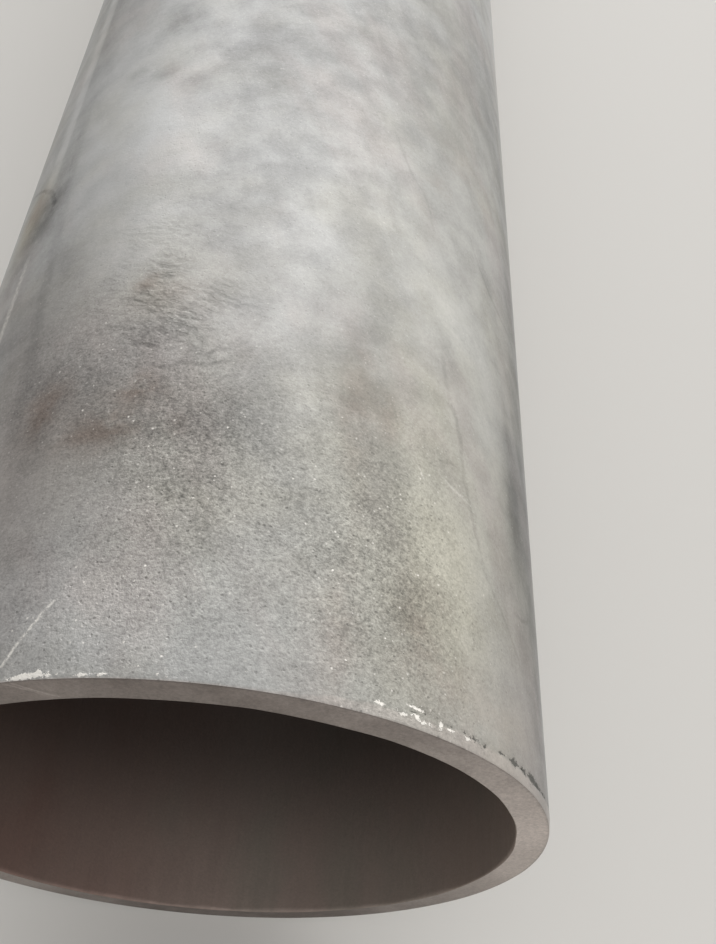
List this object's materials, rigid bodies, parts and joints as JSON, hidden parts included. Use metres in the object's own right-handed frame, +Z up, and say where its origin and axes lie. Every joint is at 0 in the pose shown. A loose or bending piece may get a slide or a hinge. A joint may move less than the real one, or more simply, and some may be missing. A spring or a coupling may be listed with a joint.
{
  "type": "seamless steel pipe",
  "caption": "Straight round seamless steel pipe, lying on its side, with a plain through bore and square saw-cut ends whose outer edge is ground to a slight slope.",
  "frame": {"origin": "under the middle of the pipe, on the level that the pipe lies on", "axes": "+Y along the pipe's axis, away from the end that faces the viewer; +Z up"},
  "size_m": [0.1684, 6.135, 0.1679],
  "materials": {
    "pickled_steel": "hot finished, blasted and pickled to a matt light grey with a fine grain"
  },
  "bodies": {
    "root": {"pipe": "pickled_steel"}
  },
  "joints": []
}
